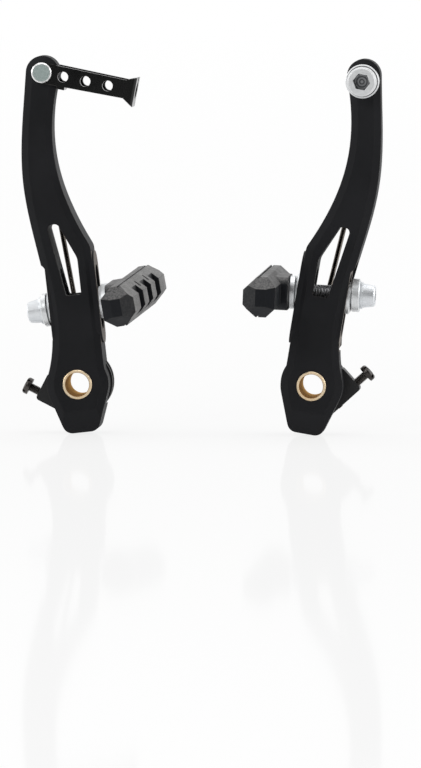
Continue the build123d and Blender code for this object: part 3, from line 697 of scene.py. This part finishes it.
def bare_steel(name, dark, light, roughness, patch_scale, radius=CORNER_RADIUS):
    """Dark bare steel, uneven in colour and gloss."""
    material, tree = blank(name)
    grain = grain_in(tree, patch_scale=patch_scale)
    shade(tree, {
        "Base Color": blend_colour(tree, grain["Patches"], dark, light),
        "Metallic": 1.0,
        "Roughness": span(tree, grain["Grain"], *roughness),
        "Normal": corners_in(tree, radius)["Normal"],
    })
    return material


dark_steel = bare_steel(
    "black oxide steel", OXIDE_DARK, OXIDE_LIGHT, OXIDE_ROUGHNESS, OXIDE_PATCHES, SMALL_CORNERS
)
spring_wire = bare_steel("spring wire", WIRE_DARK, WIRE_LIGHT, WIRE_ROUGHNESS, WIRE_PATCHES)
for side in SIDES:
    dress(dark_steel, side + "_stop_plate", side + "_tension_screw")
    dress(spring_wire, side + "_spring")
print("spring side dressed")

# %% [markdown]
# ## Smooth copies of the springs
# The tail of a return spring stays against its screw while its leg swings with the arm, and the
# coil between them winds up or unwinds. Each spring gets a copy whose loose triangles are joined
# into one smooth skin with the spring wire finish, and the solid itself is hidden. The coil is
# round about the axis that the arm turns on.

# %% Spring copies
SAME_POINT = 0.000001
SHARPEST_SMOOTH = math.radians(40)


def merged_copy(name, solid):
    """A copy of a solid's loose triangles, joined into one smooth skin."""
    shape = bmesh.new()
    shape.from_mesh(solid.data)
    bmesh.ops.remove_doubles(shape, verts=shape.verts, dist=SAME_POINT)
    mesh = bpy.data.meshes.new(name)
    shape.to_mesh(mesh)
    shape.free()
    mesh.shade_smooth()
    mesh.set_sharp_from_angle(angle=SHARPEST_SMOOTH)
    return add_object(name, mesh)


for side in SIDES:
    wire = merged_copy(side + "_spring_wire", solids[side + "_spring"])
    wire.data.materials.clear()
    wire.data.materials.append(spring_wire)
    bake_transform(wire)
    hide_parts(side + "_spring")
    print(wire.name, len(wire.data.polygons), "faces")

# %% [markdown]
# ## Cable link and rivet
# The link is folded sheet steel in gloss black; a lighter colour painted along its cut edges
# stands in for the light that they catch. The rivet that it turns on has a matt grey-green face
# inside a bright turned rim.

# %% Link
LINK_CORNERS = 0.00025
LINK_BLACK = (0.003, 0.003, 0.003)
LINK_EDGE_HIGHLIGHT = (0.07, 0.064, 0.058)
LINK_ROUGHNESS = (0.14, 0.26)
LINK_SHINE = 0.3
LACQUER_WEIGHT = 0.25
LACQUER_ROUGHNESS = 0.06

material, tree = blank("gloss black link")
grain = grain_in(tree, patch_scale=200)
corners = corners_in(tree, LINK_CORNERS)
shade(tree, {
    # painted highlight: the cut edges get a lighter colour
    "Base Color": blend_colour(tree, corners["Corner"], LINK_BLACK, LINK_EDGE_HIGHLIGHT),
    "Roughness": span(tree, grain["Patches"], *LINK_ROUGHNESS),
    "Specular IOR Level": LINK_SHINE,
    "Coat Weight": LACQUER_WEIGHT,
    "Coat Roughness": LACQUER_ROUGHNESS,
    "Normal": corners["Normal"],
})
dress(material, "cable_link")
print("link dressed")

# %% Rivet
FACE_RADIUS = 0.0029
FACE_DARK, FACE_LIGHT = (0.34, 0.42, 0.40), (0.50, 0.58, 0.56)
RIM_COLOUR = (0.88, 0.88, 0.88)
RIM_TO_FACE_METAL = (0.9, 0.3)
RIM_TO_FACE_ROUGHNESS = (0.25, 0.5)

material, tree = blank("rivet")
grain = grain_in(tree, grain_scale=2400)
turned = turned_in(tree, joint_line("link_turn"))
on_face = sums(tree, "LESS_THAN", turned["Radius"], FACE_RADIUS)
face = blend_colour(tree, grain["Grain"], FACE_DARK, FACE_LIGHT)
shade(tree, {
    "Base Color": blend_colour(tree, on_face, RIM_COLOUR, face),
    "Metallic": span(tree, on_face, *RIM_TO_FACE_METAL),
    "Roughness": span(tree, on_face, *RIM_TO_FACE_ROUGHNESS),
    "Normal": corners_in(tree, SMALL_CORNERS)["Normal"],
})
dress(material, "link_pin")
print("rivet dressed")

# %% [markdown]
# ## Screw threads
# The two tension screws show a few turns of thread between lug and head. A thread is a ridge
# that climbs round a core, so Geometry Nodes make it from a spiral and a small diamond profile
# swept along it. Core, depth, pitch and length are inputs, so one tree makes both screws.

# %% Thread tree
STEPS_PER_TURN = 28
RIDGE_SIDES = 4


def thread_tree():
    """A tree that sweeps a ridge along a spiral and gives it a finish."""
    tree = bpy.data.node_groups.new("screw thread", "GeometryNodeTree")
    tree.interface.new_socket("Geometry", in_out="OUTPUT", socket_type="NodeSocketGeometry")
    for label in ("Core Radius", "Thread Depth", "Pitch", "Length"):
        tree.interface.new_socket(label, in_out="INPUT", socket_type="NodeSocketFloat")
    tree.interface.new_socket("Finish", in_out="INPUT", socket_type="NodeSocketMaterial")
    given = tree.nodes.new("NodeGroupInput").outputs
    out = tree.nodes.new("NodeGroupOutput").inputs
    spiral = place(tree, "GeometryNodeCurveSpiral", {
        "Resolution": STEPS_PER_TURN,
        "Rotations": sums(tree, "DIVIDE", given["Length"], given["Pitch"]),
        "Start Radius": given["Core Radius"],
        "End Radius": given["Core Radius"],
        "Height": given["Length"],
    })
    upright = place(tree, "GeometryNodeSetCurveNormal", {"Curve": spiral.outputs[0]}, mode="Z_UP")
    ridge = place(tree, "GeometryNodeCurvePrimitiveCircle", {
        "Resolution": RIDGE_SIDES, "Radius": given["Thread Depth"]})
    swept = place(tree, "GeometryNodeCurveToMesh", {
        "Curve": upright.outputs[0], "Profile Curve": ridge.outputs[0], "Fill Caps": True})
    real = place(tree, "GeometryNodeRealizeInstances", {0: swept.outputs[0]})
    coated = place(tree, "GeometryNodeSetMaterial", {
        "Geometry": real.outputs[0], "Material": given["Finish"]})
    tree.links.new(coated.outputs[0], out[0])
    return tree


THREAD = thread_tree()
thread_inputs = [item for item in THREAD.interface.items_tree if item.in_out == "INPUT"]
print("thread inputs:", [item.name for item in thread_inputs])

# %% Threads on the two tension screws
CORE_RADIUS = 0.00122
THREAD_DEPTH = 0.00027
SCREW_PITCH = 0.0005
SCREW_FOOT = 0.0114
SCREW_HEAD = {"left": 0.0147, "right": 0.0154}


def screw_thread(name, values):
    """Run the thread tree on an empty mesh and keep the result as a plain mesh."""
    holder = add_object(name, bpy.data.meshes.new(name))
    modifier = holder.modifiers.new("nodes", "NODES")
    modifier.node_group = THREAD
    for item in thread_inputs:
        modifier[item.identifier] = values[item.name]
    bpy.context.view_layer.update()
    evaluated = holder.evaluated_get(bpy.context.evaluated_depsgraph_get())
    holder.data = bpy.data.meshes.new_from_object(evaluated)
    holder.modifiers.clear()
    return holder


for side in SIDES:
    tip, axis = joint_line(side + "_screw_turn")
    thread = screw_thread(side + "_screw_thread", {
        "Core Radius": CORE_RADIUS,
        "Thread Depth": THREAD_DEPTH,
        "Pitch": SCREW_PITCH,
        "Length": SCREW_HEAD[side] - SCREW_FOOT,
        "Finish": dark_steel,
    })
    turn = axis.to_track_quat("Z", "Y").to_matrix().to_4x4()
    along = Matrix.Translation((0, 0, SCREW_FOOT))
    thread.data.transform(Matrix.Translation(tip) @ turn @ along)
    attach(thread, side + "_screw")
    print(thread.name, len(thread.data.polygons), "faces")

# %% [markdown]
# ## Floor and studio light
# The brake stands on a glossy white sheet in a white room, and the room behind the camera is
# dark. That is what gives black parts their look: faces turned to the camera mirror the dark,
# and upper faces seen at a low angle mirror the bright backdrop. The floor is mostly white
# with a weak mirror, so the parts show a faint double under them. Where the camera or a mirror
# looks at it, it glows nearly white by itself, so it needs no more light, and a thin share of
# lit surface on top keeps the shadow. Near the brake it glows a little less, because the lamps
# add the rest there.

# %% Floor sheet
FLOOR_GAP = 0.0001
FLOOR_HEIGHT = min(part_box("left_arm")[0].z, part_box("right_arm")[0].z) - FLOOR_GAP
FLOOR_REACH = 4


def sheet(name, corners):
    """A flat four-cornered sheet that belongs to the studio."""
    mesh = bpy.data.meshes.new(name)
    mesh.from_pydata(corners, [], [(0, 1, 2, 3)])
    made = add_object(name, mesh)
    return made


def seen_directly(tree):
    """1 where the camera, a mirror or glass looks, 0 for light that only bounces."""
    path = place(tree, "ShaderNodeLightPath").outputs
    direct = sums(tree, "MAXIMUM", path["Is Camera Ray"], path["Is Glossy Ray"])
    return sums(tree, "MAXIMUM", direct, path["Is Transmission Ray"])


floor = sheet("floor", [
    (-FLOOR_REACH, -FLOOR_REACH, FLOOR_HEIGHT),
    (FLOOR_REACH, -FLOOR_REACH, FLOOR_HEIGHT),
    (FLOOR_REACH, FLOOR_REACH, FLOOR_HEIGHT),
    (-FLOOR_REACH, FLOOR_REACH, FLOOR_HEIGHT),
])
print("floor at", round(FLOOR_HEIGHT, 5))

# %% Floor finish
SHEET_WHITE = (0.9, 0.9, 0.9, 1)
SHADOW_SHARE = (0.12, 0.12, 0.12, 1)
MIRROR_SHARE = 0.075
MIRROR_ROUGHNESS = 0.06
GLOW_FAR = 0.965
GLOW_DROP = 0.098
LIT_RADIUS = 0.8

white, tree = blank("white sheet")
where = place(tree, "ShaderNodeTexCoord").outputs["Object"]
reach = sums(tree, "DIVIDE", vectors(tree, "LENGTH", {0: where}, "Value"), LIT_RADIUS)
fade = sums(tree, "ADD", sums(tree, "POWER", reach, 2.0), 1.0)
strength = sums(tree, "SUBTRACT", GLOW_FAR, sums(tree, "DIVIDE", GLOW_DROP, fade))
glow = place(tree, "ShaderNodeEmission", {"Strength": strength}).outputs[0]
matt = place(tree, "ShaderNodeBsdfDiffuse", {"Color": SHEET_WHITE}).outputs[0]
shaded = place(tree, "ShaderNodeBsdfDiffuse", {"Color": SHADOW_SHARE}).outputs[0]
seen = place(tree, "ShaderNodeAddShader", {0: shaded, 1: glow}).outputs[0]
lit = place(tree, "ShaderNodeMixShader", {0: seen_directly(tree), 1: matt, 2: seen}).outputs[0]
mirror = place(tree, "ShaderNodeBsdfGlossy", {"Roughness": MIRROR_ROUGHNESS}).outputs[0]
glossy = place(tree, "ShaderNodeMixShader", {0: MIRROR_SHARE, 1: lit, 2: mirror}).outputs[0]
place(tree, "ShaderNodeOutputMaterial", {"Surface": glossy})
floor.data.materials.append(white)
print("floor glows", round(GLOW_FAR - GLOW_DROP, 3), "near the brake,", GLOW_FAR, "far away")

# %% Lamps
LAMPS = (
    # name, place, target, size in metres, watts
    ("top light", (0.0, 0.25, 0.95), (0, 0, 0.04), 0.9, 4.2),
    ("left light", (-0.9, 0.1, 0.35), (0, 0, 0.04), 0.5, 2),
    ("right light", (0.9, 0.1, 0.35), (0, 0, 0.04), 0.5, 2.5),
    ("front light", (-0.5, -1.1, 0.8), (0, 0, 0.05), 0.5, 4),
)
for name, place_at, target, size, watts in LAMPS:
    lamp = bpy.data.lights.new(name, "AREA")
    lamp.size = size
    lamp.energy = watts
    aim(add_object(name, lamp), place_at, target)
print("lights:", [lamp.name for lamp in bpy.data.lights])

# %% Dark card and white room
CARD_PLACE = -2.2
CARD_REACH = 3
CARD_TOP = 3
CARD_BLACK = (0.01, 0.01, 0.01, 1)
CARD_ROUGHNESS = 1.0
ROOM_WHITE = (1, 1, 1, 1)
ROOM_LIGHT = 0.45
ROOM_SEEN = 1.0

card = sheet("dark card", [
    (-CARD_REACH, CARD_PLACE, FLOOR_HEIGHT),
    (CARD_REACH, CARD_PLACE, FLOOR_HEIGHT),
    (CARD_REACH, CARD_PLACE, CARD_TOP),
    (-CARD_REACH, CARD_PLACE, CARD_TOP),
])
card.visible_camera = False
black, tree = blank("dark card")
shade(tree, {"Base Color": CARD_BLACK, "Roughness": CARD_ROUGHNESS})
card.data.materials.append(black)

world = bpy.data.worlds.new("white room")
world.use_nodes = True
tree = world.node_tree
tree.nodes.clear()
brightness = span(tree, seen_directly(tree), ROOM_LIGHT, ROOM_SEEN)
room = place(tree, "ShaderNodeBackground", {"Color": ROOM_WHITE, "Strength": brightness})
place(tree, "ShaderNodeOutputWorld", {"Surface": room.outputs[0]})
bpy.context.scene.world = world
print("room gives", ROOM_LIGHT, "as light and shows as", ROOM_SEEN)
